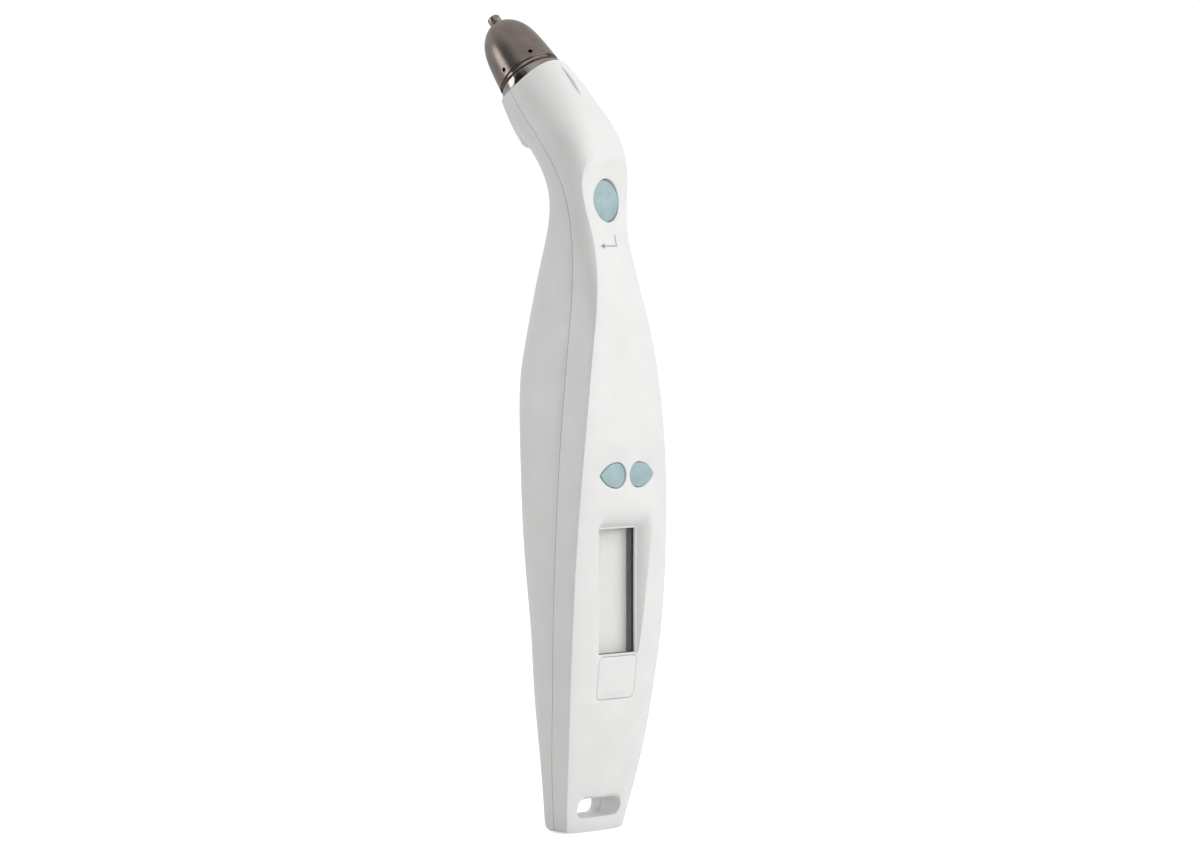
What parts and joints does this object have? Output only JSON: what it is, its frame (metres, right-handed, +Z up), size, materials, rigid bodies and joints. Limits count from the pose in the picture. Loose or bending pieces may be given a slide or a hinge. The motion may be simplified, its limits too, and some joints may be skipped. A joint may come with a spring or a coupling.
{
  "type": "handheld applanation tonometer",
  "caption": "Pen-like handheld eye-pressure meter: white waisted case with a leaned-back head, metal bell tip, display and teal buttons.",
  "frame": {"origin": "middle of the bounding box at the height of the lowest point of the foot", "axes": "+Z up along the handle, display and buttons face -Y, the head leans back towards +Y, +X to the right of someone facing the display"},
  "size_m": [0.0322, 0.0468, 0.1997],
  "materials": {
    "case_plastic": "moulded white plastic, satin to semi-gloss",
    "cover_plastic": "white moulded plate",
    "clear_pane": "clear display pane",
    "black_plastic": "black moulded plastic",
    "lcd_glass": "pale grey-green liquid crystal panel, blank",
    "black_rubber": "black elastomer",
    "teal_key": "pale teal moulded buttons",
    "board_laminate": "green circuit board",
    "chip_epoxy": "black epoxy chips",
    "cream_plastic": "natural white engineering plastic",
    "cell_steel": "nickel-plated button cells",
    "spring_steel": "plated spring contacts",
    "screw_steel": "small steel screws",
    "bell_metal": "dark warm satin metal",
    "bright_metal": "polished metal ring",
    "sensor_alloy": "machined alloy",
    "foot_metal": "brown-grey metal contact foot",
    "plunger_metal": "fine metal plunger",
    "amber_film": "amber polyimide ribbon"
  },
  "bodies": {
    "case": {"front_shell": "case_plastic", "rear_shell": "case_plastic", "display_window": "clear_pane", "lcd_frame": "black_plastic", "lcd_panel": "lcd_glass", "contact_strips": "black_rubber", "switch_bodies": "black_plastic", "main_board": "board_laminate", "enter_board": "board_laminate", "board_chips": "chip_epoxy", "data_connector": "black_plastic", "beeper": "black_plastic", "ribbon_socket": "cream_plastic", "battery_tray": "black_plastic", "button_cells": "cell_steel", "battery_spring": "spring_steel", "battery_plate": "spring_steel", "case_screws": "screw_steel", "board_screws": "screw_steel", "tip_bell": "bell_metal", "tip_collar": "bright_metal", "probe_barrel": "cream_plastic", "o_ring": "black_rubber", "sensor_block": "sensor_alloy", "plunger_guide": "sensor_alloy", "contact_foot": "foot_metal", "sensor_ribbon": "amber_film", "key_ribbon": "amber_film"},
    "enter_key": {"enter_button": "teal_key", "enter_switch_pusher": "black_plastic"},
    "left_key": {"left_button": "teal_key", "left_switch_pusher": "black_plastic"},
    "right_key": {"right_button": "teal_key", "right_switch_pusher": "black_plastic"},
    "door": {"battery_door": "case_plastic"},
    "cover": {"port_cover": "cover_plastic"},
    "sensing_plunger": {"plunger": "plunger_metal"}
  },
  "joints": [
    {"name": "enter_press", "type": "slide", "parent": "case", "child": "enter_key", "axis": [0, 0.9954, -0.0958], "range_m": [0, 0.0005], "stiffness_N_per_m": 2500, "springref_m": -0.0002},
    {"name": "left_press", "type": "slide", "parent": "case", "child": "left_key", "axis": [0, 1, 0], "range_m": [0, 0.0005], "stiffness_N_per_m": 2500, "springref_m": -0.0002},
    {"name": "right_press", "type": "slide", "parent": "case", "child": "right_key", "axis": [0, 1, 0], "range_m": [0, 0.0005], "stiffness_N_per_m": 2500, "springref_m": -0.0002},
    {"name": "battery_door_tilt", "type": "hinge", "parent": "case", "child": "door", "pos_m": [0, 0.00326, 0.0844], "axis": [-1, 0, 0], "range_deg": [0, 70]},
    {"name": "port_cover_pull", "type": "slide", "parent": "case", "child": "cover", "axis": [0, -1, 0], "range_m": [0, 0.006]},
    {"name": "plunger_travel", "type": "slide", "parent": "case", "child": "sensing_plunger", "axis": [0, -0.6561, -0.7547], "range_m": [0, 0.0001], "stiffness_N_per_m": 800, "springref_m": -0.0001}
  ]
}
